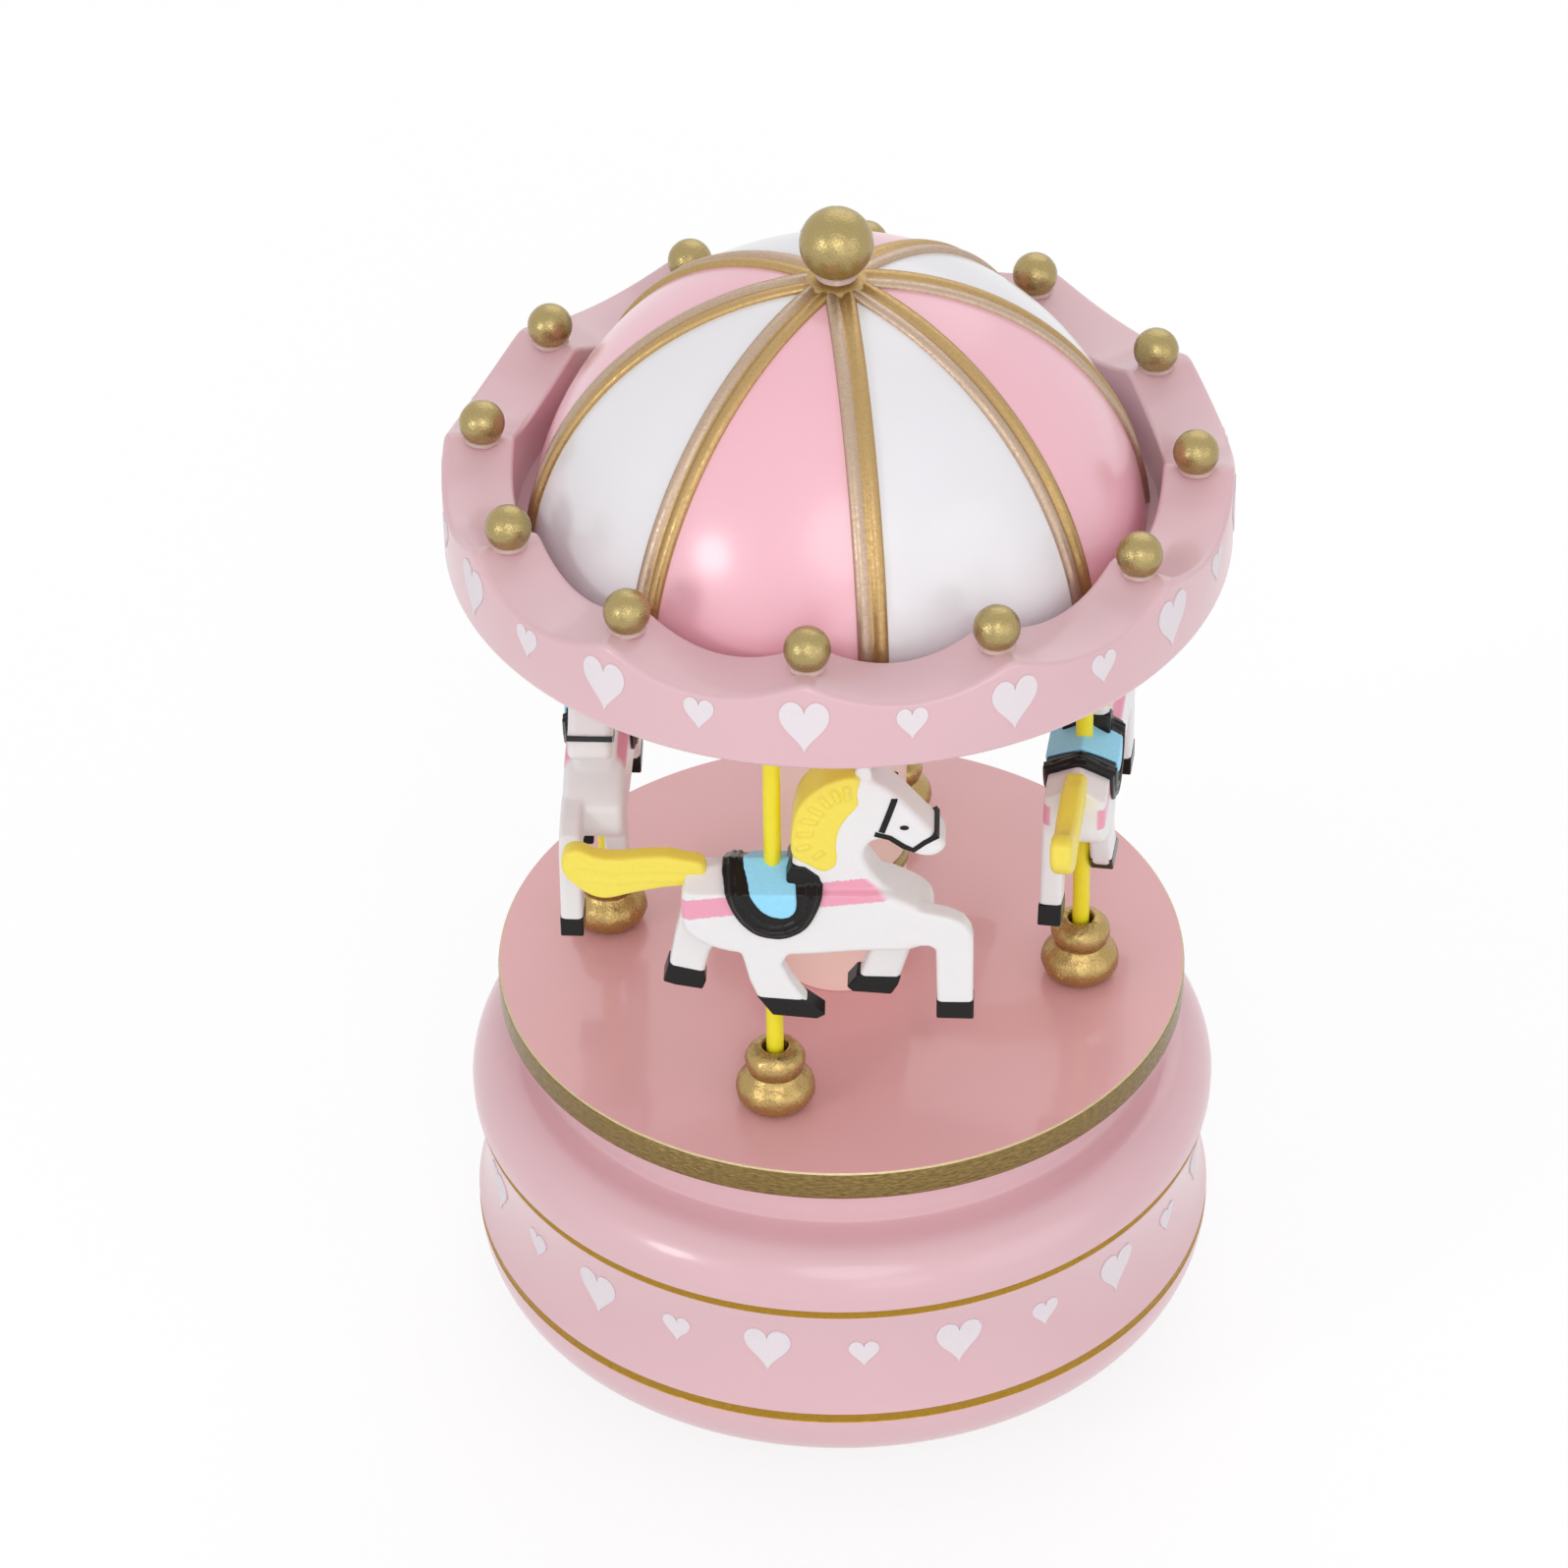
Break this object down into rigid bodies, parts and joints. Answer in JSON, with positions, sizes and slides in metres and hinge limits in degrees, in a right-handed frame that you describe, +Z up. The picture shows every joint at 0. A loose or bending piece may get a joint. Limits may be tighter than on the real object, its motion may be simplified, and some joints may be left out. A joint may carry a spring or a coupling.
{
  "type": "carousel music box",
  "caption": "Small wind-up carousel music box: round drum base that twists to wind, turning platform with horses on poles, column, scalloped canopy and domed roof.",
  "frame": {"origin": "centre of the feet's underside, on the carousel's axis, on the surface it stands on", "axes": "+Z up along the carousel's axis; -Y is the side the picture sees; +X to the right in it"},
  "size_m": [0.105, 0.105, 0.185],
  "materials": {
    "black_rubber": "matt black rubber",
    "brass": "plain brass",
    "clear_collar": "pale translucent plastic",
    "dome_paint": "pink and white panels, gold ribs, glossy",
    "gold_paint": "metallic gold paint on a moulded or turned piece",
    "horse_plastic": "white moulded plastic, painted mane, tail, saddle and hooves",
    "nylon": "natural nylon",
    "peach_plastic": "satin peach lacquer",
    "pink_plastic": "satin pink lacquer, gold lines and pale hearts painted on",
    "spring_steel": "blued spring steel",
    "steel": "plain steel",
    "turntable_pink": "satin pink lacquer with a gold-painted rim",
    "white_plastic": "white moulded plastic",
    "yellow_plastic": "yellow plastic rod",
    "zinc": "die-cast zinc alloy"
  },
  "bodies": {
    "winding_foot": {"winding_disc": "pink_plastic", "rubber_feet": "black_rubber", "winding_arbor": "steel", "arbor_screw": "steel"},
    "base": {"base_shell": "pink_plastic", "bottom_cover": "white_plastic", "cover_screws": "steel", "bedplate_screws": "steel", "comb_screws": "steel", "bearing_plate_inner": "steel", "bearing_plate_outer": "steel", "governor_bracket": "steel", "bedplate": "zinc", "comb": "spring_steel", "clutch_spring": "spring_steel", "thrust_washer": "nylon", "deck_bush": "nylon"},
    "cylinder": {"pin_cylinder": "brass", "cylinder_wheel": "brass", "cylinder_arbor": "steel", "cylinder_pinion": "nylon"},
    "governor": {"governor_pinion": "steel", "governor_wheel": "nylon"},
    "air_brake": {"worm_shaft": "steel", "fly": "nylon"},
    "carousel": {"spring_barrel": "brass", "barrel_cap": "brass", "mainspring": "spring_steel", "drive_shaft": "steel", "turntable_screws": "steel", "canopy_screw": "steel", "turntable": "turntable_pink", "column": "peach_plastic", "column_ring": "gold_paint", "crown_balls": "gold_paint", "finial_ball": "gold_paint", "pole_socket_1": "gold_paint", "pole_socket_2": "gold_paint", "pole_socket_3": "gold_paint", "pole_socket_4": "gold_paint", "canopy_floor": "pink_plastic", "canopy_ring": "pink_plastic", "dome": "dome_paint", "finial_collar": "clear_collar"},
    "rider_1": {"horse_1": "horse_plastic", "pole_1": "yellow_plastic"},
    "rider_2": {"horse_2": "horse_plastic", "pole_2": "yellow_plastic"},
    "rider_3": {"horse_3": "horse_plastic", "pole_3": "yellow_plastic"},
    "rider_4": {"horse_4": "horse_plastic", "pole_4": "yellow_plastic"}
  },
  "joints": [
    {"name": "winding", "type": "hinge", "parent": "winding_foot", "child": "base", "pos_m": [0, 0, 0.0119], "axis": [0, 0, 1], "range_deg": [0, 1260]},
    {"name": "carousel_spin", "type": "hinge", "parent": "base", "child": "carousel", "pos_m": [0, 0, 0.0581], "axis": [0, 0, 1], "continuous": true},
    {"name": "cylinder_spin", "type": "hinge", "parent": "base", "child": "cylinder", "pos_m": [0.0256, 0, 0.03692], "axis": [1, 0, 0], "continuous": true},
    {"name": "governor_spin", "type": "hinge", "parent": "base", "child": "governor", "pos_m": [0.0364, -0.0096, 0.03692], "axis": [1, 0, 0], "continuous": true},
    {"name": "fly_spin", "type": "hinge", "parent": "base", "child": "air_brake", "pos_m": [0.03675, -0.01695, 0.03692], "axis": [0, 0, 1], "continuous": true},
    {"name": "horse_1_lift", "type": "slide", "parent": "carousel", "child": "rider_1", "axis": [0, 0, 1], "range_m": [0, 0.004]},
    {"name": "horse_2_lift", "type": "slide", "parent": "carousel", "child": "rider_2", "axis": [0, 0, 1], "range_m": [0, 0.004]},
    {"name": "horse_3_lift", "type": "slide", "parent": "carousel", "child": "rider_3", "axis": [0, 0, 1], "range_m": [0, 0.004]},
    {"name": "horse_4_lift", "type": "slide", "parent": "carousel", "child": "rider_4", "axis": [0, 0, 1], "range_m": [0, 0.004]}
  ],
  "couplings": [
    {"joint": "cylinder_spin", "follows": "carousel_spin", "ratio": 4},
    {"joint": "governor_spin", "follows": "carousel_spin", "ratio": -20},
    {"joint": "fly_spin", "follows": "carousel_spin", "ratio": -240}
  ]
}
